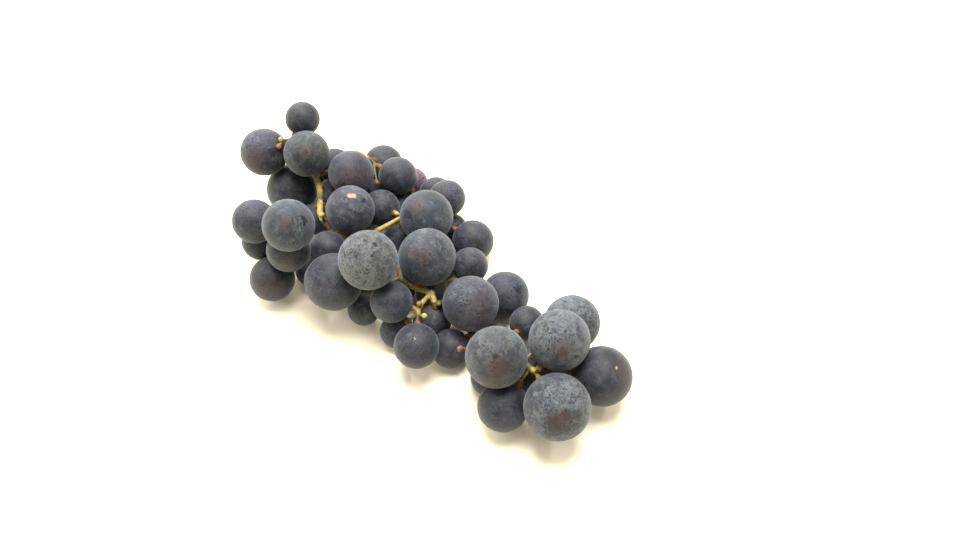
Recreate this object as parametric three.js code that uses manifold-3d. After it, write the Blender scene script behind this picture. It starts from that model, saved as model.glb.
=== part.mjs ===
// A bunch of dark grapes lying on its side: one branching stem and its berries.
// Millimetres, +Z up. +X runs from the cut end of the stem to the tip of the bunch, and the table is z = 0.
// The berries are settled first. Then the stem is grown through the free space that they leave.
import * as THREE from "three";
import { mergeVertices } from "three/addons/utils/BufferGeometryUtils.js";
import Module from "manifold-3d";

const wasm = await Module();
wasm.setup();

// Driving dimensions, in millimetres.
const gap = 0.35; // air between neighbours, so that no two solids touch
const pressedFlat = 0.4; // how far a berry is flattened where it lies on the table
const rachisRadius = 1.5;
const armRadius = 1.2;
const pedicelRadius = 0.75;
const thickening = 0.12; // a pedicel grows by this share for each further berry that it carries
const receptacle = { radius: 1.8, length: 2.2 }; // the flared seat between a pedicel and its berry
const knobRadius = 1.4; // the swollen end of a pedicel whose berry is gone
const stemStep = 4; // distance between the sections of a stem tube
const stemSides = { main: 7, pedicel: 5, seat: 6 };
const neckFlare = 1.3; // a seat's narrow end against the radius of its pedicel
const forkSwelling = 1.2; // the lump where an arm leaves, against the radius of the rachis
const ballDetail = { berry: 2, lump: 1 }; // how often an icosahedron's faces are divided
const facetTolerance = 0.02; // how far the joined stem may move when its smallest facets are merged
const scrapShare = 0.02; // the most of the stem that trimming may cut loose

const skin = new THREE.MeshStandardMaterial({ color: 0x3c4152, roughness: 0.6, metalness: 0 });
const wood = new THREE.MeshStandardMaterial({ color: 0xa8923f, roughness: 0.7, metalness: 0 });

// The berries by part of the bunch: [along, across, height, diameter], each to the centre of the berry.
// A height of 0 means that the berry lies on the table.
const onTable = 0;
const parts = {
  shoulder: [
    [-96, 18, 38, 16],
    [-98, -5, 31, 22],
    [-80, 6, 35, 21],
    [-86, 1, 12, 24],
    [-77, 19, 18, 17],
    [-69, 8, 14, 13],
    [-89, 15, onTable, 13],
  ],
  frontFlank: [
    [-64, -38, 38, 19],
    [-67, -36, 18, 17],
    [-52, -43, 13, 20],
    [-45, -26, onTable, 15],
    [-47, -35, 29, 19],
    [-43, -34, 49, 22],
    [-67, -5, onTable, 15],
    [-62, -21, onTable, 18],
  ],
  wing: [
    [-65, 39, 12, 19],
    [-61, 15, 28, 21],
    [-49, 34, 20, 18],
    [-49, 44, onTable, 14],
    [-58, 22, onTable, 17],
    [-43, 17, 16, 17],
  ],
  back: [
    [-35, 45, 9, 16],
    [-22, 40, 19, 17],
    [-17, 22, 27, 24],
    [-28, 14, onTable, 16],
    [-43, 29, onTable, 13],
    [-15, 37, onTable, 13],
    [-1, 35, 11, 19],
    [11, 21, 16, 16],
    [31, 23, onTable, 21],
  ],
  heart: [
    [4, 3, onTable, 14],
    [-45, 0, 27, 22],
    [-55, 4, onTable, 16],
    [-41, -19, 20, 17],
    [-38, 0, onTable, 18],
    [-25, -14, onTable, 18],
    [-9, -5, onTable, 17],
    [-4, 16, onTable, 18],
    [1, 4, 29, 25],
    [29, 2, 22, 24],
    [44, 1, onTable, 17],
  ],
  front: [
    [15, -8, onTable, 17],
    [-22, -31, 25, 25],
    [-8, -21, 44, 25],
    [-10, -26, 10, 14],
    [4, -21, 25, 18],
    [9, -20, onTable, 15],
    [25, -27, 19, 19],
    [31, -13, onTable, 17],
  ],
  tip: [
    [48, 15, 11, 15],
    [54, -11, onTable, 17],
    [60, -15, 34, 25],
    [73, 9, 34, 25],
    [66, 27, 19, 24],
    [70, -21, 15, 21],
    [77, 15, onTable, 13],
    [91, 16, 17, 25],
    [89, -11, 24, 27],
    [66, 2, onTable, 19],
  ],
};

// The route of the rachis, from its cut end to the tip, and of the arms that leave it.
const routes = {
  rachis: [
    [-101, 11, 21],
    [-90, 8, 22],
    [-76, 6, 22],
    [-65, -1, 22],
    [-57, -8, 21],
    [-47, -9, 18],
    [-36, -7, 19],
    [-25, -3, 19],
    [-14, 0, 18],
    [-4, -7, 19],
    [3, -6, 19],
    [11, -4, 20],
    [16, -6, 19],
    [17, -1, 16],
    [21, 2, 10],
    [27, 0, 9],
    [33, -2, 10],
    [38, -5, 14],
    [48, -6, 16],
    [56, -6, 18],
    [61, -4, 21],
    [72, -5, 25],
  ],
  wingArm: [
    [-76, 6, 22],
    [-72, 15, 23],
    [-71, 27, 26],
    [-63, 30, 24],
  ],
  frontFlankArm: [
    [-47, -9, 18],
    [-51, -20, 20],
    [-56, -31, 20],
  ],
  backArm: [
    [-36, -7, 19],
    [-32, 4, 20],
    [-29, 15, 21],
    [-29, 27, 18],
  ],
  frontArm: [
    [11, -4, 20],
    [12, -12, 20],
    [16, -17, 21],
  ],
};

// Pedicel ends that have lost their berry.
const bareEnds = [
  [-91, 0, 42],
  [-88, -2, 40],
  [-52, -9, 26],
  [-50, 21, 24],
  [17, -4, 20],
  [14, -12, 23],
  [19, -16, 24],
  [41, -18, 23],
  [73, -8, 29],
];

const vector = ([x, y, z]) => new THREE.Vector3(x, y, z);

// One smooth curve through a route's points.
function routeCurve(points) {
  return new THREE.CatmullRomCurve3(points.map(vector), false, "centripetal");
}

// Points a given step apart along a curve, both ends included.
function sampleCurve(curve, step) {
  return curve.getSpacedPoints(Math.max(2, Math.round(curve.getLength() / step)));
}

// A berry starts where the list puts it. One on the table is pressed flat by pressedFlat.
function listBerries() {
  return Object.values(parts)
    .flat()
    .map(([along, across, height, diameter]) => {
      const radius = diameter / 2;
      const lowest = radius - pressedFlat;
      const wanted = new THREE.Vector3(along, across, height === onTable ? lowest : height);
      return { centre: wanted.clone(), wanted, radius, lowest, lying: height === onTable };
    });
}

// Pushes a place off a fixed point until the two are reach apart.
function keepOff(place, point, reach) {
  const away = place.clone().sub(point);
  const short = reach - away.length();
  if (short > 0) place.addScaledVector(away.normalize(), short);
}

// Moves overlapping berries apart, off the main stems and up from the table, a little in each round.
// The pull back to the wanted place fades out, so the last rounds only take overlaps away.
function settle(berries, stems) {
  const rounds = 600;
  const firstPull = 0.05;
  const share = 0.52; // each of a pair moves a little more than half of their overlap
  for (let round = 0; round < rounds; round++) {
    const pull = firstPull * Math.max(0, 1 - (1.5 * round) / rounds);
    for (const berry of berries) berry.centre.lerp(berry.wanted, pull);
    berries.forEach((berry, i) => {
      for (const other of berries.slice(i + 1)) {
        const away = berry.centre.clone().sub(other.centre);
        const short = berry.radius + other.radius + gap - away.length();
        if (short <= 0) continue;
        away.setLength(share * short);
        berry.centre.add(away);
        other.centre.sub(away);
      }
      for (const { points, radius } of stems)
        for (const point of points) keepOff(berry.centre, point, berry.radius + radius + 2 * gap);
      if (berry.lying || berry.centre.z < berry.lowest) berry.centre.z = berry.lowest;
    });
  }
}

// A list kept in order of cost, with the cheapest entry taken first.
class Queue {
  entries = [];
  push(cost, cell) {
    const list = this.entries;
    let i = list.push({ cost, cell }) - 1;
    while (i > 0 && list[(i - 1) >> 1].cost > list[i].cost) {
      const up = (i - 1) >> 1;
      [list[i], list[up]] = [list[up], list[i]];
      i = up;
    }
  }
  pop() {
    const list = this.entries;
    const first = list[0];
    const last = list.pop();
    if (!list.length) return first;
    list[0] = last;
    let i = 0;
    for (;;) {
      let least = i;
      for (const down of [2 * i + 1, 2 * i + 2])
        if (down < list.length && list[down].cost < list[least].cost) least = down;
      if (least === i) return first;
      [list[i], list[least]] = [list[least], list[i]];
      i = least;
    }
  }
}

// The air between the berries, as a grid of cells that each know how far the nearest berry's skin is.
class Air {
  cell = 1.5;
  margin = 4;
  constructor(berries) {
    const box = new THREE.Box3();
    for (const { centre, radius } of berries)
      box.expandByPoint(centre.clone().addScalar(radius)).expandByPoint(centre.clone().addScalar(-radius));
    this.low = box.min.clone().addScalar(-this.margin);
    this.low.z = 2.5 * pedicelRadius;
    this.count = box.max.clone().sub(this.low).divideScalar(this.cell).ceil();
    this.room = new Float32Array(this.count.x * this.count.y * this.count.z);
    for (let i = 0; i < this.room.length; i++) this.room[i] = roomAt(this.place(i), berries);
    this.steps = [];
    for (const x of [-1, 0, 1])
      for (const y of [-1, 0, 1])
        for (const z of [-1, 0, 1]) if (x || y || z) this.steps.push([x, y, z, Math.hypot(x, y, z) * this.cell]);
  }
  place(i) {
    const { x, y } = this.count;
    return new THREE.Vector3(i % x, Math.floor(i / x) % y, Math.floor(i / (x * y)))
      .multiplyScalar(this.cell)
      .add(this.low);
  }
  index(point) {
    const at = point.clone().sub(this.low).divideScalar(this.cell).round();
    at.clamp(new THREE.Vector3(), this.count.clone().subScalar(1));
    return at.x + this.count.x * (at.y + this.count.y * at.z);
  }
  *neighbours(i) {
    const { x, y, z } = this.count;
    const at = [i % x, Math.floor(i / x) % y, Math.floor(i / (x * y))];
    for (const [dx, dy, dz, length] of this.steps) {
      const [a, b, c] = [at[0] + dx, at[1] + dy, at[2] + dz];
      if (a < 0 || b < 0 || c < 0 || a >= x || b >= y || c >= z) continue;
      yield [a + x * (b + y * c), length];
    }
  }
}

// Distance from a point to the nearest berry's skin, below zero inside a berry.
function roomAt(point, berries) {
  let room = Infinity;
  for (const { centre, radius } of berries) room = Math.min(room, centre.distanceTo(point) - radius);
  return room;
}

// The cheapest way through the air from the stem so far to a goal. Narrow places cost more, and a start
// far out on the stem costs a share of its own way from the rachis, so berries gather on short sprays.
function findWay(air, nodes, isGoal) {
  const comfortable = 1.7;
  const crowding = 5;
  const headStart = 0.35;
  const closed = 0.1;
  const cost = new Map();
  const from = new Map();
  const queue = new Queue();
  nodes.forEach((node) => {
    const cell = air.index(node.place);
    const start = headStart * node.reach;
    if (start >= (cost.get(cell) ?? Infinity)) return;
    cost.set(cell, start);
    from.set(cell, node);
    queue.push(start, cell);
  });
  while (queue.entries.length) {
    const best = queue.pop();
    if (best.cost > cost.get(best.cell)) continue;
    if (isGoal(air.place(best.cell))) return traceBack(air, from, best.cell);
    for (const [next, length] of air.neighbours(best.cell)) {
      const room = air.room[next];
      if (room < closed) continue;
      const price = best.cost + length * (1 + crowding * Math.max(0, comfortable - room) ** 2);
      if (price >= (cost.get(next) ?? Infinity)) continue;
      cost.set(next, price);
      from.set(next, best.cell);
      queue.push(price, next);
    }
  }
  return null;
}

// The node that a way starts from, and the places that it goes through.
function traceBack(air, from, cell) {
  const places = [];
  let at = cell;
  while (typeof at === "number") {
    places.unshift(air.place(at));
    at = from.get(at);
  }
  return { start: at, places: places.slice(1) };
}

// Adds a way to the stem as a chain of nodes. Every node before it on the way to the rachis carries more.
function addChain(chains, nodes, { start, places }, end) {
  let last = start;
  const chain = { nodes: [start], end };
  for (const place of places) {
    const node = { place, parent: last, reach: last.reach + last.place.distanceTo(place), carries: 0, near: [] };
    node.near.push(last);
    if (!last.fixed) last.near.push(node);
    nodes.push(node);
    chain.nodes.push(node);
    last = node;
  }
  for (let node = last; node && !node.fixed; node = node.parent) node.carries += 1;
  last.end = end;
  chains.push(chain);
}

// The main stems' own points are fixed, and every way starts from them.
function mainNodes(stems) {
  return stems.flatMap(({ points }) => points.map((place) => ({ place, reach: 0, fixed: true })));
}

// Pulls each chain straight while it stays clear of the berries. A chain's end keeps to its berry's skin.
function straighten(nodes, berries) {
  const rounds = 80;
  const clear = pedicelRadius + gap;
  const seat = gap + receptacle.length;
  const loose = nodes.filter((node) => !node.fixed);
  for (let round = 0; round < rounds; round++)
    for (const node of loose) {
      const middle = new THREE.Vector3();
      for (const near of node.near) middle.add(near.place);
      middle.divideScalar(node.near.length);
      if (!node.end?.point) node.place.lerp(middle, 0.5);
      for (const berry of berries) if (node.end !== berry) keepOff(node.place, berry.centre, berry.radius + clear);
      if (node.end?.centre) {
        const out = node.place.clone().sub(node.end.centre).setLength(node.end.radius + seat);
        node.place.copy(node.end.centre).add(out);
      }
    }
}

// Nearest goals first, so that the outer berries branch off the ways to the inner ones.
function growChains(stems, berries) {
  const air = new Air(berries);
  const nodes = mainNodes(stems);
  const chains = [];
  const fromStem = (place) => Math.min(...nodes.map((node) => node.place.distanceTo(place)));
  const ends = berries.map((berry) => ({ end: berry, far: fromStem(berry.centre) - berry.radius }));
  for (const point of bareEnds.map(vector)) ends.push({ end: { point }, far: fromStem(point) });
  ends.sort((a, b) => a.far - b.far);
  for (const { end } of ends) {
    const isGoal = end.point
      ? (place) => place.distanceTo(end.point) < air.cell
      : (place) => place.distanceTo(end.centre) - end.radius < receptacle.length + gap;
    const way = findWay(air, nodes, isGoal);
    if (!way) throw new Error("no way through the berries to an end of the stem");
    if (!way.places.length) way.places.push(end.point ?? way.start.place.clone());
    addChain(chains, nodes, way, end);
  }
  straighten(nodes, berries);
  return chains;
}

// A closed geometry as a manifold-3d solid.
function solid(geometry) {
  geometry.deleteAttribute("normal");
  geometry.deleteAttribute("uv");
  const merged = mergeVertices(geometry, 1e-4);
  const vertProperties = new Float32Array(merged.attributes.position.array);
  const triVerts = new Uint32Array(merged.index.array);
  return new wasm.Manifold(new wasm.Mesh({ numProp: 3, vertProperties, triVerts }));
}

// A manifold-3d solid as a named mesh.
function meshOf(body, name, material) {
  const { vertProperties, triVerts } = body.getMesh();
  const geometry = new THREE.BufferGeometry();
  geometry.setAttribute("position", new THREE.BufferAttribute(vertProperties, 3));
  geometry.setIndex(new THREE.BufferAttribute(triVerts, 1));
  geometry.computeVertexNormals();
  const mesh = new THREE.Mesh(geometry, material);
  mesh.name = name;
  return mesh;
}

// A round tube along a curve.
function tube(curve, radius, sides, step) {
  const section = new THREE.Shape();
  section.absarc(0, 0, radius, 0, 2 * Math.PI);
  const outline = new THREE.Shape(section.getSpacedPoints(sides).slice(0, sides));
  const steps = Math.max(1, Math.round(curve.getLength() / step));
  return solid(new THREE.ExtrudeGeometry(outline, { steps, extrudePath: curve, curveSegments: 1 }));
}

// A ball with a corner straight below its centre.
function ball(radius, detail) {
  const cornerDown = Math.atan(2 / (1 + Math.sqrt(5)));
  return new THREE.IcosahedronGeometry(radius, detail).rotateX(cornerDown);
}

// Turns a geometry that is built along +Y to point along a direction, and moves it to a place.
function aim(geometry, direction, place) {
  const turn = new THREE.Quaternion().setFromUnitVectors(new THREE.Vector3(0, 1, 0), direction);
  return geometry.applyQuaternion(turn).translate(place.x, place.y, place.z);
}

// The seat flares from the pedicel to a rim that faces the berry.
function receptacleSolid(direction, place, neck) {
  const { radius, length } = receptacle;
  const overlap = 0.3 * neck;
  const profile = [
    [0, -overlap],
    [neck, -overlap],
    [radius, length],
    [0, length],
  ];
  const points = profile.map(([r, y]) => new THREE.Vector2(r, y));
  return solid(aim(new THREE.LatheGeometry(points, stemSides.seat), direction, place));
}

// A chain is a tube from its start to its end, with a seat or a bare knob there.
function chainSolids({ nodes, end }) {
  const last = nodes[nodes.length - 1];
  const radius = pedicelRadius * (1 + thickening * (nodes[1].carries - 1));
  const places = nodes.filter((node, i) => i % 2 === 0 || node === last).map(({ place }) => place);
  const toSkin = end.centre?.clone().sub(last.place).normalize();
  if (toSkin) places.push(last.place.clone().addScaledVector(toSkin, 0.5 * receptacle.length));
  const curve = new THREE.CatmullRomCurve3(places, false, "centripetal");
  const bodies = [tube(curve, radius, stemSides.pedicel, stemStep)];
  if (toSkin) bodies.push(receptacleSolid(toSkin, last.place, neckFlare * radius));
  else bodies.push(solid(ball(knobRadius, ballDetail.lump).translate(...last.place)));
  return bodies;
}

// Rachis, arms, pedicels and seats joined into one body, then trimmed where it comes too near a berry.
function stemSolid(stems, chains, berries) {
  const bodies = stems.map(({ curve, radius }) => tube(curve, radius, stemSides.main, stemStep));
  for (const { curve } of stems.slice(1))
    bodies.push(solid(ball(forkSwelling * rachisRadius, ballDetail.lump).translate(...curve.getPoint(0))));
  for (const chain of chains) bodies.push(...chainSolids(chain));
  const trimGap = 0.9 * gap; // less than the planned gap, so that only what strays is cut
  let whole = wasm.Manifold.union(bodies);
  for (const { centre, radius } of berries) {
    const space = solid(ball(radius + trimGap, ballDetail.berry).translate(...centre));
    if (whole.intersect(space).volume() > 0) whole = whole.subtract(space);
  }
  const pieces = whole
    .simplify(facetTolerance)
    .decompose()
    .sort((a, b) => b.volume() - a.volume());
  const lost = pieces.slice(1).reduce((sum, piece) => sum + piece.volume(), 0);
  if (lost > scrapShare * pieces[0].volume()) throw new Error("the stem is cut through by " + lost.toFixed(1));
  return pieces[0];
}

// A berry is a ball, with a flat spot where it lies on the table.
function berrySolid({ centre, radius }) {
  const body = solid(ball(radius, ballDetail.berry).translate(...centre));
  if (centre.z > radius) return body;
  const width = 3 * radius;
  const table = new THREE.BoxGeometry(width, width, radius).translate(centre.x, centre.y, -radius / 2);
  return body.subtract(solid(table));
}

const stems = Object.entries(routes).map(([name, points]) => {
  const curve = routeCurve(points);
  const radius = name === "rachis" ? rachisRadius : armRadius;
  return { curve, radius, points: sampleCurve(curve, stemStep / 3) };
});
const berries = listBerries();
settle(berries, stems);
const chains = growChains(stems, berries);

const group = new THREE.Group();
group.add(meshOf(stemSolid(stems, chains, berries), "stem", wood));
berries.forEach((berry, i) => {
  group.add(meshOf(berrySolid(berry), "berry_" + String(i + 1).padStart(2, "0"), skin));
});

// The origin is on the table, under the middle of the bunch.
const middle = new THREE.Box3().setFromObject(group).getCenter(new THREE.Vector3());
for (const mesh of group.children) mesh.geometry.translate(-middle.x, -middle.y, 0);

export default group;
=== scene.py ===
import math
import bpy
import numpy as np
from mathutils import Matrix, Vector


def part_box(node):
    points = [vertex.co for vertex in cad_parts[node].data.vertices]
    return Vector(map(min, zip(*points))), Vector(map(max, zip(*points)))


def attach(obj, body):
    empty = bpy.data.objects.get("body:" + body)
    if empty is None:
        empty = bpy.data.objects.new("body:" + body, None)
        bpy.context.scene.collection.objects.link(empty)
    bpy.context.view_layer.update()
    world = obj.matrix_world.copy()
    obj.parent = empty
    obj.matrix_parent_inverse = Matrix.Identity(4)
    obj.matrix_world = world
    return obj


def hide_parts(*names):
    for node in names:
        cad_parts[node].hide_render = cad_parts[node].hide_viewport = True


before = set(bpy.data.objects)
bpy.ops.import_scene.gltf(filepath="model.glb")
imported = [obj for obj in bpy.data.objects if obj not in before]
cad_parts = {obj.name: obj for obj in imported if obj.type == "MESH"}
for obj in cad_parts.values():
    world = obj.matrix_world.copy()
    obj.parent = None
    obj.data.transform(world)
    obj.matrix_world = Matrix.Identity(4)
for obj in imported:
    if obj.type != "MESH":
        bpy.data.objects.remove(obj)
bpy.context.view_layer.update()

# A bunch of dark grapes on a pale table. Metres, +X from the stem's cut end to the tip, +Z up.
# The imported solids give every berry's place and size, and the stem's whole route.

mm = 0.001


# ---- shader expressions

class Wire:  # one node output, or a plain number, that sums and products can be written with
    def __init__(self, shader, socket):
        self.shader = shader
        self.socket = socket

    def maths(self, operation, first, second):
        return self.shader.node("ShaderNodeMath", {"operation": operation}, {0: first, 1: second})

    def __add__(self, other):
        return self.maths("ADD", self, other)

    def __sub__(self, other):
        return self.maths("SUBTRACT", self, other)

    def __mul__(self, other):
        return self.maths("MULTIPLY", self, other)

    def __rsub__(self, other):
        return self.maths("SUBTRACT", other, self)

    def larger(self, other):
        return self.maths("MAXIMUM", self, other)

    __radd__ = __add__
    __rmul__ = __mul__

    def step(self, low, high):  # 0 below low and 1 above high, with a smooth rise between
        settings = {"interpolation_type": "SMOOTHSTEP"}
        return self.shader.node("ShaderNodeMapRange", settings, {0: self, 1: low, 2: high})


class Shader:  # a material whose nodes are made one call at a time
    def __init__(self, name):
        self.material = bpy.data.materials.new(name)
        self.material.use_nodes = True
        self.tree = self.material.node_tree
        self.tree.nodes.clear()

    def node(self, kind, settings=None, inputs=None, output=0):
        made = self.tree.nodes.new(kind)
        for key, value in (settings or {}).items():
            setattr(made, key, value)
        for key, value in (inputs or {}).items():
            if isinstance(value, Wire):
                self.tree.links.new(value.socket, made.inputs[key])
            else:
                made.inputs[key].default_value = value
        return Wire(self, made.outputs[output]) if made.outputs else None

    def mix(self, share, first, second):  # two colours; the share is how much of the second
        first, second = [c if isinstance(c, Wire) else (*c, 1.0) for c in (first, second)]
        settings = {"data_type": "RGBA", "clamp_factor": True}
        return self.node("ShaderNodeMix", settings, {0: share, 6: first, 7: second}, output=2)

    def attribute(self, name):
        return self.node("ShaderNodeAttribute", {"attribute_name": name}, output="Fac")

    def place(self):
        return self.node("ShaderNodeTexCoord", output="Object")

    def noise(self, place, scale, detail=3.0, roughness=0.55, distortion=0.0):
        inputs = {"Vector": place, "Scale": scale, "Detail": detail, "Roughness": roughness}
        return self.node("ShaderNodeTexNoise", None, {**inputs, "Distortion": distortion})

    def finish(self, surface):
        self.node("ShaderNodeOutputMaterial", None, {"Surface": surface})
        return self.material


# ---- the berries as the frame gives them

berryNames = sorted(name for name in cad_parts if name.startswith("berry_"))
pressedFlat = 0.4 * mm  # how far a lying berry's solid is cut flat


def berryBall(name):  # centre and radius; a lying berry's box is short by the flat spot
    low, high = [np.array(corner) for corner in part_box(name)]
    lying = low[2] < 0.01 * mm
    radius = (high[2] - low[2] + (pressedFlat if lying else 0.0)) / 2
    centre = (low + high) / 2
    centre[2] = high[2] - radius
    return centre, radius


balls = {name: berryBall(name) for name in berryNames}
centres = np.array([balls[name][0] for name in berryNames])
radii = np.array([balls[name][1] for name in berryNames])
print("berries", len(berryNames), "mean diameter mm", round(2000 * float(radii.mean()), 1))


def stemArrays():  # the stem's solid, its loose triangles merged by rounding their corners
    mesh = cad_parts["stem"].data
    points = np.empty(len(mesh.vertices) * 3, np.float32)
    mesh.vertices.foreach_get("co", points)
    corners = np.empty(len(mesh.loops), np.int32)
    mesh.loops.foreach_get("vertex_index", corners)
    keys = np.round(points.reshape(-1, 3) / (0.001 * mm)).astype(np.int64)
    unique, where = np.unique(keys, axis=0, return_inverse=True)
    faces = where.reshape(-1)[corners].reshape(-1, 3)
    good = (faces[:, 0] != faces[:, 1]) & (faces[:, 1] != faces[:, 2]) & (faces[:, 0] != faces[:, 2])
    return unique * 0.001 * mm, faces[good]


stemPoints, stemFaces = stemArrays()


seatSearch = {
    "reach": 1.0 * mm,  # how far off a berry's solid a seat's end may be
    "facing": 0.97,  # cosine between a seat's end and the line to the berry's centre
    "spread": 14.0,  # degrees within which faces belong to one seat
    "fallback": 12,  # how many of the nearest faces stand in for a seat that isn't found
}


def stemDirections():
    # A seat's end is a flat face that looks straight at its berry's centre. For each berry, the faces that
    # do so from just off its skin vote by area for their own direction, and the strongest group wins.
    a, b, c = (stemPoints[stemFaces[:, k]] for k in range(3))
    cross = np.cross(b - a, c - a)
    area = np.linalg.norm(cross, axis=1)
    normal = cross / np.maximum(area, 1e-18)[:, None]
    middle = (a + b + c) / 3
    found = {}
    for name in berryNames:
        centre, radius = balls[name]
        out = middle - centre
        away = np.linalg.norm(out, axis=1)
        out = out / away[:, None]
        facing = -(out * normal).sum(1)
        near = (away < radius + seatSearch["reach"]) & (facing > seatSearch["facing"])
        if not near.any():
            near = away < np.sort(away)[seatSearch["fallback"]]
        directions, votes = out[near], area[near]
        together = directions @ directions.T > math.cos(math.radians(seatSearch["spread"]))
        best = together[np.argmax(together @ votes)]
        mean = (directions[best] * votes[best, None]).sum(0)
        found[name] = mean / np.linalg.norm(mean)
    return found


stemSide = stemDirections()


# ---- the camera, whose axes also place the marks that face it

view = {
    "azimuth": 43.0,  # degrees; 0 looks along +Y
    "down": 54.0,  # degrees below level
    "distance": 0.4728,
    "aimed": (0.0107, 0.0310),  # from the middle of the bunch to the point on the table that is looked at
    "lens": 37.5,
    "sensor": 36.0,
}


def viewAxes():  # unit vectors to the right, up and towards the camera
    turn, tilt = math.radians(view["azimuth"]), math.radians(view["down"])
    right = np.array([math.cos(turn), math.sin(turn), 0.0])
    towards = np.array([math.sin(turn) * math.cos(tilt), -math.cos(turn) * math.cos(tilt), math.sin(tilt)])
    return right, np.cross(towards, right), towards


def makeCamera():
    right, up, towards = viewAxes()
    data = bpy.data.cameras.new("camera")
    data.lens, data.sensor_width = view["lens"], view["sensor"]
    data.clip_start, data.clip_end = 0.01, 20
    camera = bpy.data.objects.new("camera", data)
    aim = np.array([*view["aimed"], 0.0])
    place = aim + view["distance"] * towards
    rows = [(right[k], up[k], towards[k], place[k]) for k in range(3)]
    camera.matrix_world = Matrix(rows + [(0, 0, 0, 1)])
    bpy.context.scene.collection.objects.link(camera)
    bpy.context.scene.camera = camera


# ---- the berries' shape

berryShape = {
    "around": 88,
    "along": 56,
    "swell": 0.25 * mm,  # the skin stands this far outside the solid, where no neighbour is in its way
    "air": 0.02 * mm,  # half the gap left where two berries press on each other
    "longer": 0.010,  # share by which a berry is longer than it is wide
    "lumps": 0.007,  # share by which the outline wanders
    "dimple": 0.30 * mm,
    "dimpleWidth": 2.4 * mm,
    "tipDent": 0.16 * mm,
    "tipWidth": 0.8 * mm,
}

# What single berries show: right and up of the middle as the camera sees it, and the width, as shares
# of the radius.
markKinds = ("scar", "callusAndHighlight", "bruise", "blush", "rosy")
marks = {
    58: [("scar", -0.12, -0.32, 0.42), ("scar", 0.14, -0.16, 0.28), ("scar", 0.2, -0.5, 0.16)],
    52: [
        ("scar", 0.14, -0.24, 0.40), ("scar", 0.0, -0.5, 0.2), ("blush", 0.05, -0.3, 0.6),
        ("bruise", -0.05, 0.1, 0.14),
    ],
    39: [("blush", -0.12, 0.02, 0.50), ("scar", -0.06, 0.02, 0.14), ("scar", -0.1, -0.48, 0.2)],
    53: [("scar", 0.02, -0.32, 0.22), ("blush", 0.1, -0.25, 0.5), ("bruise", 0.4, -0.5, 0.14)],
    3: [("scar", 0.12, -0.08, 0.14), ("blush", 0.1, -0.1, 0.5)],
    32: [("callusAndHighlight", 0.10, 0.52, 0.12), ("callusAndHighlight", 0.24, 0.52, 0.12), ("bruise", 0.62, 0.36, 0.18)],
    13: [("bruise", 0.70, 0.26, 0.20), ("bruise", 0.74, 0.06, 0.18), ("blush", 0.05, 0.1, 0.4)],
    24: [("bruise", -0.68, 0.10, 0.34), ("bruise", -0.60, -0.05, 0.22), ("blush", -0.3, 0.4, 0.4)],
    40: [("blush", 0.25, -0.2, 0.6), ("bruise", -0.1, -0.72, 0.14)],
    2: [("blush", -0.2, -0.4, 0.6), ("bruise", 0.55, -0.1, 0.30)],
    17: [("bruise", -0.35, -0.65, 0.3), ("blush", 0.2, -0.3, 0.7)],
    30: [("bruise", 0.1, -0.62, 0.2), ("bruise", 0.5, 0.3, 0.3)],
    # The callus marks on 57 and 48 are painted highlights: pale spots put where a lamp's glint falls. Those
    # on 32 are real pale calluses.
    57: [("callusAndHighlight", 0.36, 0.36, 0.06), ("blush", 0.55, 0.2, 0.4)],
    48: [("callusAndHighlight", 0.0, 0.38, 0.05)],
    44: [
        ("bruise", -0.3, 0.1, 0.16), ("bruise", 0.3, 0.5, 0.14), ("bruise", 0.0, 0.62, 0.12),
        ("bruise", 0.25, 0.1, 0.12),
    ],
    19: [("rosy", 0.5, 0.3, 1.6)],
    12: [("blush", 0.1, -0.6, 1.0)],
    10: [("blush", 0.0, -0.3, 0.9)],
}

# How much more or less wax than usual a berry carries, and its cast: 1 is purple, 0 is blue and -1 is a
# greenish tan.
coats = {
    1: (-0.15, -0.5), 2: (0.05, 0.5), 3: (0.1, -0.5), 4: (-0.15, -0.3), 8: (0.0, 0.3), 9: (-0.1, 0.2),
    10: (-0.1, 0.5), 12: (0.1, -0.3), 13: (0.1, 0.1), 17: (0.0, 0.7), 18: (-0.1, -0.2), 19: (-0.2, 0.6),
    21: (0.0, -0.3), 23: (-0.05, 0.5), 24: (0.05, 0.0), 28: (-0.05, -0.1), 29: (0.1, -0.1), 30: (0.05, -0.1),
    32: (0.15, 0.3), 39: (0.1, -0.2), 40: (0.1, 0.4), 43: (0.0, 0.5), 44: (0.30, -0.8), 46: (-0.1, 0.0),
    48: (-0.15, 0.2), 52: (0.15, -0.6), 53: (0.3, -0.2), 54: (0.25, 0.0), 55: (-0.2, 0.0), 57: (-0.1, 0.3),
    58: (0.25, -0.3),
}


def gridDirections(axis, spin):
    # Unit vectors on a grid: the polar angle runs from the stem side to the tip side, and the other angle
    # once round the axis. The first and the last row are single points, so the poles are closed.
    side = np.cross(axis, [0.3, 0.5, 0.81])
    side = side / np.linalg.norm(side)
    other = np.cross(axis, side)
    polar = np.linspace(0, math.pi, berryShape["along"] + 1)[1:-1, None]
    around = np.linspace(0, 2 * math.pi, berryShape["around"], endpoint=False)[None, :] + spin
    flat = np.cos(around)[..., None] * side + np.sin(around)[..., None] * other
    ring = np.cos(polar)[..., None] * axis + np.sin(polar)[..., None] * flat
    return np.concatenate([[axis], ring.reshape(-1, 3), [-axis]])


def gridFaces(rows, columns):
    # Quads between neighbouring rings, and a fan of triangles at each pole, all facing out.
    index = 1 + np.arange(rows * columns).reshape(rows, columns)
    beside = np.roll(index, -1, axis=1)
    quads = np.stack([index[:-1], index[1:], beside[1:], beside[:-1]], -1).reshape(-1, 4)
    top = np.stack([np.zeros(columns, int), index[0], beside[0]], -1)
    last = 1 + rows * columns
    bottom = np.stack([np.full(columns, last), beside[-1], index[-1]], -1)
    return quads.tolist() + top.tolist() + bottom.tolist()


def smoothStep(values, low, high):
    share = np.clip((values - low) / (high - low), 0, 1)
    return share * share * (3 - 2 * share)


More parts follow.
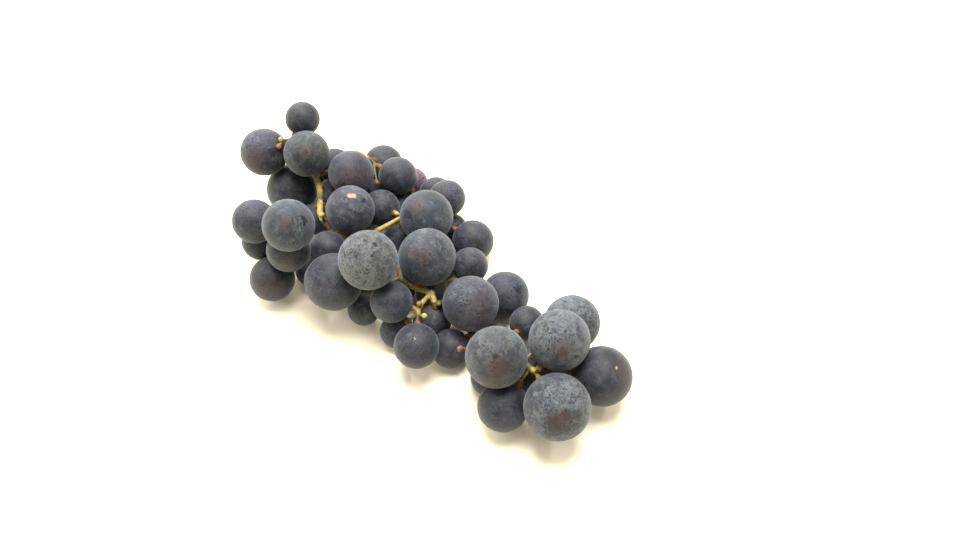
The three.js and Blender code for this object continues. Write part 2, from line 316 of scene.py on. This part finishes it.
def berrySurface(name, random):
    # radius = the solid's radius, a little swell, slow lumps in the directions of a few random waves, and
    # more along the axis. A dimple surrounds the stem and a small dent marks the tip. Then every neighbour,
    # and the table, is a plane that presses the skin flat.
    centre, radius = balls[name]
    axis = stemSide[name]
    out = gridDirections(axis, random.uniform(0, 2 * math.pi))
    waves = random.normal(0, 1.6, (5, 3))
    lumps = np.sin(out @ waves.T * 1.3 + random.uniform(0, 2 * math.pi, 5)).mean(1)
    level = out @ axis
    length = radius * (1 + berryShape["longer"] * (level**2 - 0.5) + berryShape["lumps"] * lumps)
    length += berryShape["swell"]
    fromStem = radius * np.arccos(np.clip(level, -1, 1))
    fromTip = radius * np.arccos(np.clip(-level, -1, 1))
    length -= berryShape["dimple"] * np.exp(-((fromStem / berryShape["dimpleWidth"]) ** 2))
    length -= berryShape["tipDent"] * np.exp(-((fromTip / berryShape["tipWidth"]) ** 2))
    points = centre + out * length[:, None]
    rub = np.zeros(len(points))
    apart = np.linalg.norm(centres - centre, axis=1) - radii - radius
    for other in np.where((apart > -radius) & (apart < 1.5 * mm))[0]:
        towards = centres[other] - centre
        towards = towards / np.linalg.norm(towards)
        wall = radius + apart[other] / 2 - berryShape["air"]
        reach = (points - centre) @ towards
        rub = np.maximum(rub, smoothStep(reach - wall, -0.9 * mm, -0.05 * mm) * random.uniform(0.4, 1.0))
        points -= np.maximum(0, reach - wall)[:, None] * towards
    points[:, 2] = np.maximum(points[:, 2], 0)
    rub = np.maximum(rub, smoothStep(-points[:, 2], -0.5 * mm, 0))
    return points, out, fromStem, fromTip, rub


def markShare(number, kind, out):
    # 1 at a mark's middle and 0 at its edge, and where marks meet the larger counts.
    right, up, towards = viewAxes()
    share = np.zeros(len(out))
    for markKind, across, above, width in marks.get(number, []):
        if markKind != kind:
            continue
        depth = math.sqrt(max(0.0, 1 - across**2 - above**2))
        middle = across * right + above * up + depth * towards
        angle = np.arccos(np.clip(out @ middle, -1, 1))
        share = np.maximum(share, np.clip(1 - angle / (1.35 * width), 0, 1))
    return share


def storeAttribute(mesh, name, values):
    layer = mesh.attributes.new(name, "FLOAT", "POINT")
    layer.data.foreach_set("value", np.asarray(values, np.float32))


def makeBerry(number, name, material):
    random = np.random.default_rng(100 + number)
    points, out, fromStem, fromTip, rub = berrySurface(name, random)
    mesh = bpy.data.meshes.new(name + "_skin")
    mesh.from_pydata(points.tolist(), [], gridFaces(berryShape["along"] - 1, berryShape["around"]))
    mesh.update()
    mesh.shade_smooth()
    storeAttribute(mesh, "fromStem", fromStem / mm)
    storeAttribute(mesh, "fromTip", fromTip / mm)
    storeAttribute(mesh, "rub", rub)
    for kind in markKinds:
        storeAttribute(mesh, kind, markShare(number, kind, out))
    bloom, cast = coats.get(number, (random.normal(-0.05, 0.08), random.uniform(-0.5, 0.8)))
    storeAttribute(mesh, "bloom", np.full(len(points), 0.5 + bloom))
    storeAttribute(mesh, "cast", np.full(len(points), cast))
    piece = bpy.data.objects.new(name + "_skin", mesh)
    bpy.context.scene.collection.objects.link(piece)
    mesh.materials.append(material)
    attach(piece, "root")
    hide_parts(name)


# ---- the berries' skin

skinLook = {
    "deep": (0.0095, 0.0095, 0.0125),
    "wine": (0.026, 0.010, 0.016),
    "waxBlue": (0.041, 0.048, 0.061),
    "waxPurple": (0.045, 0.041, 0.052),
    "waxTan": (0.050, 0.050, 0.042),
    "waxPale": (0.086, 0.092, 0.096),
    "scarBrown": (0.034, 0.018, 0.014),
    "blush": (0.052, 0.037, 0.034),
    "rosy": (0.110, 0.070, 0.088),
    # pale callus colour, also used for the painted highlights on 57 and 48
    "callusAndHighlight": (0.380, 0.230, 0.130),
    "speck": (0.0065, 0.0065, 0.0075),
    "stemRing": (0.070, 0.046, 0.020),
}


def makeSkin():
    s = Shader("grapeSkin")
    look = skinLook
    place = s.place()
    bloom, cast, rub = s.attribute("bloom"), s.attribute("cast"), s.attribute("rub")
    scarShare, callusAndHighlightShare = s.attribute("scar"), s.attribute("callusAndHighlight")
    bruiseShare, blushShare, rosyShare = s.attribute("bruise"), s.attribute("blush"), s.attribute("rosy")
    fromStem, fromTip = s.attribute("fromStem"), s.attribute("fromTip")

    broad = s.noise(place, 85.0, 3.0, 0.5)
    patchy = s.noise(place, 300.0, 5.0, 0.65, 0.4)
    grain = s.noise(place, 1500.0, 4.0, 0.65)
    blot = s.noise(place, 640.0, 3.0, 0.6, 0.6)

    # wax: thick in broad clouds, thinned by patches, gone where berries rub and in the bruises
    bruise = (bruiseShare + (blot - 0.5) * 2.2 + (patchy - 0.5)).step(0.45, 0.75) * bruiseShare.step(0.0, 0.3)
    wax = bloom + (broad - 0.5) * 1.0 + (patchy - 0.5) * 1.7 + (grain - 0.5) * 0.8
    wax = (wax - rub * 0.45 - blushShare * 0.2).step(0.0, 1.0)

    green = s.noise(place, 130.0, 3.0).step(0.50, 0.66) * 0.5
    purple = s.noise(place, 100.0, 2.0).step(0.52, 0.68) * 0.5
    waxColour = s.mix((cast + purple).step(0.0, 1.1), look["waxBlue"], look["waxPurple"])
    waxColour = s.mix((green - cast).step(0.0, 1.1), waxColour, look["waxTan"])
    waxColour = s.mix((wax + patchy * 0.4 + bloom * 0.7).step(1.25, 1.95), waxColour, look["waxPale"])
    wineShare = (s.noise(place, 150.0, 2.0) + cast * 0.15).step(0.55, 0.85) * 0.6
    skin = s.mix(wineShare, look["deep"], look["wine"])
    colour = s.mix(wax, skin, waxColour)
    blush = (blushShare + (patchy - 0.5) * 1.2 + (broad - 0.5) * 0.8).step(0.1, 0.9) * 0.6
    colour = s.mix(blush * blushShare.step(0.0, 0.4), colour, look["blush"])
    rosy = (rosyShare + (patchy - 0.5) * 0.6).step(0.0, 0.7) * 0.85
    colour = s.mix(rosy * rosyShare.step(0.0, 0.3), colour, look["rosy"])

    # specks: dark, irregular and of two sizes, gathered in some places and rare in others
    gathered = s.noise(place, 170.0, 2.0).step(0.40, 0.65)
    small = (s.noise(place, 1150.0, 2.0, 0.5) + gathered * 0.09 + bloom * 0.05).step(0.665, 0.715)
    large = (blot + gathered * 0.06 + (bloom - 0.5) * 0.2).step(0.665, 0.715)
    specks = (small.larger(large) * 0.8).larger(bruise)
    colour = s.mix(specks, colour, look["speck"])

    # scars, whose edges the noise frays and whose middle it breaks up
    frayed = scarShare + (blot - 0.5) * 0.9 + (patchy - 0.5) * 0.9
    scar = frayed.step(0.25, 0.70) * scarShare.step(0.0, 0.25)
    colour = s.mix(scar * (0.95 - grain * 0.5), colour, look["scarBrown"])
    # pale calluses, and on 57 and 48 painted highlights: pale spots where a lamp's glint falls
    callusAndHighlight = (callusAndHighlightShare + (blot - 0.5) * 0.4).step(0.1, 0.7)
    colour = s.mix(callusAndHighlight * 0.85, colour, look["callusAndHighlight"])

    # the tip's scar is a pin-point, and the stem end has a corky ring
    tipDot = (1 - (fromTip + (grain - 0.5) * 0.5).step(0.25, 0.6)) * 0.8
    colour = s.mix(tipDot, colour, look["scarBrown"])
    ring = 1 - (fromStem + (grain - 0.5) * 1.2).step(2.1, 2.7)
    colour = s.mix(ring * 0.7, colour, look["stemRing"])

    roughness = 0.50 + wax * 0.25 + scar * 0.1 - callusAndHighlight * 0.1
    height = wax * 0.3 + grain * 0.3 + patchy * 0.4 - specks * 0.5 - scar * 0.4 + callusAndHighlight * 0.6
    bump = s.node("ShaderNodeBump", None, {"Strength": 0.4, "Distance": 0.12 * mm, "Height": height})
    surface = s.node("ShaderNodeBsdfPrincipled", None, {
        "Base Color": colour, "Roughness": roughness, "Normal": bump, "Specular IOR Level": 0.26,
        "Sheen Weight": 0.17, "Sheen Roughness": 0.45, "Sheen Tint": (0.80, 0.90, 1.0, 1.0),
    })
    return s.finish(surface)


# ---- the stem

stemShape = {
    "voxel": 0.30 * mm,
    "smoothing": 4,
    "warts": 0.09 * mm,
    "gap": 0.35 * mm,  # between a seat's solid and its berry's solid
    "seatWidth": 2.6 * mm,  # from a seat's middle, along the berry, to where the stem isn't drawn up any more
}


def nearBerries(points):  # how far each point is outside the nearest berry's solid, and which berry that is
    apart = np.linalg.norm(points[:, None] - centres[None], axis=2) - radii[None]
    which = apart.argmin(1)
    return apart[np.arange(len(points)), which], which


def makeStem(material):
    # The solid is rebuilt with an even skin, relaxed, and given slow warts, which are the product of two sine
    # waves. Near a berry its seat is drawn up to the skin, so that the two meet.
    mesh = bpy.data.meshes.new("stem_bark")
    mesh.from_pydata(stemPoints.tolist(), [], stemFaces.tolist())
    piece = bpy.data.objects.new("stem_bark", mesh)
    bpy.context.scene.collection.objects.link(piece)
    remesh = piece.modifiers.new("remesh", "REMESH")
    remesh.mode = "VOXEL"
    remesh.voxel_size = stemShape["voxel"]
    relax = piece.modifiers.new("relax", "SMOOTH")
    relax.factor, relax.iterations = 0.5, stemShape["smoothing"]
    dependencies = bpy.context.evaluated_depsgraph_get()
    fine = bpy.data.meshes.new_from_object(piece.evaluated_get(dependencies))
    piece.modifiers.clear()
    piece.data = fine
    points = np.empty(len(fine.vertices) * 3, np.float32)
    fine.vertices.foreach_get("co", points)
    points = points.reshape(-1, 3).astype(float)
    normals = np.empty(len(fine.vertices) * 3, np.float32)
    fine.vertex_normals.foreach_get("vector", normals)
    normals = normals.reshape(-1, 3)
    wart = np.sin(points @ [2100.0, 1300.0, 900.0]) * np.sin(points @ [-800.0, 1700.0, 1500.0])
    points += normals * (stemShape["warts"] * wart)[:, None]
    apart, which = nearBerries(points)
    out = points - centres[which]
    out = out / np.linalg.norm(out, axis=1)[:, None]
    axes = np.array([stemSide[name] for name in berryNames])[which]
    onSeat = radii[which] * np.arccos(np.clip((out * axes).sum(1), -1, 1)) < stemShape["seatWidth"]
    pull = stemShape["gap"] * (1 - smoothStep(apart, 0.5 * mm, 1.6 * mm)) * onSeat
    points -= out * pull[:, None]
    fine.vertices.foreach_set("co", points.astype(np.float32).reshape(-1))
    fine.update()
    fine.shade_smooth()
    storeAttribute(fine, "seat", (1 - smoothStep(apart, 0.6 * mm, 2.6 * mm)) * onSeat)
    storeAttribute(fine, "toCut", (points[:, 0] - points[:, 0].min()) / mm)
    for kind in stemSpots:
        storeAttribute(fine, kind, spotShare(points, kind))
    fine.materials.clear()
    fine.materials.append(material)
    print("stem triangles", 2 * len(fine.polygons))
    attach(piece, "root")
    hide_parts("stem")


# Where the stem is fresh yellow wood, a lime knob or an orange scar: the middle and the reach, in
# millimetres. The yellow spots are partly painted light: they sit where the stem lies in the light, and the
# stem between them stays olive and brown, which is partly painted shade.
stemSpots = {
    "freshAndLit": [
        (-27, 14, 21, 13), (-69, 3, 22, 9), (-57, -7, 21, 7), (11, -4, 20, 8), (15, -12, 21, 8),
        (42, -9, 20, 5), (66, 0, 23, 7), (75, -6, 27, 5), (-69, 27, 26, 9), (-88.5, 0.3, 42.5, 4),
        (-50, -9, 26, 4),
    ],
    "lime": [(21.7, -15.7, 24, 3)],
    "orange": [
        (16.7, -11.7, 23, 3), (43.7, -17.7, 23, 4), (-48, 19, 24, 6), (-85.5, -1.7, 40, 3),
        (-50, -14, 24, 5), (18, -20, 22, 3),
    ],
}


def spotShare(points, kind):  # 1 at a spot's middle and 0 past its reach
    share = np.zeros(len(points))
    for x, y, z, reach in stemSpots[kind]:
        apart = np.linalg.norm(points / mm - [x, y, z], axis=1)
        share = np.maximum(share, 1 - smoothStep(apart, 0.4 * reach, 1.2 * reach))
    return share


stemLook = {
    "olive": (0.075, 0.062, 0.014),
    "brown": (0.060, 0.038, 0.014),
    "yellow": (0.240, 0.180, 0.028),
    "straw": (0.340, 0.255, 0.070),
    "lime": (0.260, 0.310, 0.060),
    "rust": (0.190, 0.070, 0.022),
    "bark": (0.045, 0.026, 0.012),
}


def makeBark():
    s = Shader("grapeStem")
    look = stemLook
    place = s.place()
    seat, toCut = s.attribute("seat"), s.attribute("toCut")
    slow = s.noise(place, 160.0, 3.0)
    fine = s.noise(place, 900.0, 4.0, 0.65)
    # yellow where the stem lies in the light, olive and brown deeper in the bunch: the stem's own colours,
    # partly painted light and shade
    freshAndLit = (s.attribute("freshAndLit") * 0.75 + (slow - 0.5) * 1.4 + (fine - 0.5) * 0.9).step(0.1, 0.7)
    colour = s.mix(slow.step(0.40, 0.60), look["olive"], look["brown"])
    ripe = s.mix((fine + slow).step(0.95, 1.2), look["yellow"], look["straw"])
    colour = s.mix(freshAndLit, colour, ripe)
    colour = s.mix(s.attribute("lime"), colour, look["lime"])
    orange = s.attribute("orange") * 0.8
    rust = (orange.larger(seat * 0.9) + (fine - 0.5) * 0.8 + (slow - 0.5) * 0.6).step(0.3, 0.75)
    colour = s.mix(rust * 0.9, colour, look["rust"])
    dots = s.node("ShaderNodeTexVoronoi", None, {"Vector": place, "Scale": 900.0})
    colour = s.mix((1 - dots.step(0.12, 0.32)) * 0.5, colour, look["bark"])
    cut = 1 - (toCut + (fine - 0.5) * 1.5).step(1.0, 4.0)
    colour = s.mix(cut * 0.8, colour, look["bark"])
    height = fine - dots * 0.4
    bump = s.node("ShaderNodeBump", None, {"Strength": 0.5, "Distance": 0.15 * mm, "Height": height})
    surface = s.node("ShaderNodeBsdfPrincipled", None, {
        "Base Color": colour, "Roughness": 0.5 + fine * 0.2, "Normal": bump, "Specular IOR Level": 0.4,
    })
    return s.finish(surface)


# ---- table and light

stage = {
    "floorColour": (0.84, 0.76, 0.58),
    "floorSize": 6.0,
    "sky": 0.85,
    "skyColour": (1.0, 0.955, 0.87),
    "lamps": {  # power, size and place
        "window": (45.0, 1.6, (-1.25, 0.66, 0.85)),
        "ceiling": (49.0, 0.9, (-0.12, 0.20, 1.5)),
        "side": (9.0, 0.9, (-0.85, -0.50, 0.75)),
        "lamp": (5.0, 0.08, (0.42, 0.89, 1.13)),
    },
}


def makeFloor():
    half = stage["floorSize"] / 2
    mesh = bpy.data.meshes.new("floor")
    corners = [(-half, -half, 0), (half, -half, 0), (half, half, 0), (-half, half, 0)]
    mesh.from_pydata([(x, y, -0.05 * mm) for x, y, z in corners], [], [(0, 1, 2, 3)])
    floor = bpy.data.objects.new("floor", mesh)
    bpy.context.scene.collection.objects.link(floor)
    s = Shader("paleTable")
    surface = s.node("ShaderNodeBsdfPrincipled", None, {
        "Base Color": (*stage["floorColour"], 1.0), "Roughness": 0.8, "Specular IOR Level": 0.2,
    })
    mesh.materials.append(s.finish(surface))


def makeLight(name, power, size, place):
    data = bpy.data.lights.new(name, "AREA")
    data.shape, data.size, data.energy = "DISK", size, power
    light = bpy.data.objects.new(name, data)
    light.location = place
    light.rotation_euler = Vector(place).to_track_quat("Z", "Y").to_euler()
    bpy.context.scene.collection.objects.link(light)


def makeSky():
    world = bpy.data.worlds.new("studio")
    world.use_nodes = True
    background = world.node_tree.nodes["Background"]
    background.inputs["Color"].default_value = (*stage["skyColour"], 1.0)
    background.inputs["Strength"].default_value = stage["sky"]
    bpy.context.scene.world = world
    bpy.context.scene.view_settings.view_transform = "Standard"


makeCamera()
makeFloor()
makeSky()
for name, lamp in stage["lamps"].items():
    makeLight(name, *lamp)
print("stage done")

skin = makeSkin()
for number, name in enumerate(berryNames, 1):
    makeBerry(number, name, skin)
print("berries done")

makeStem(makeBark())
print("stem done")
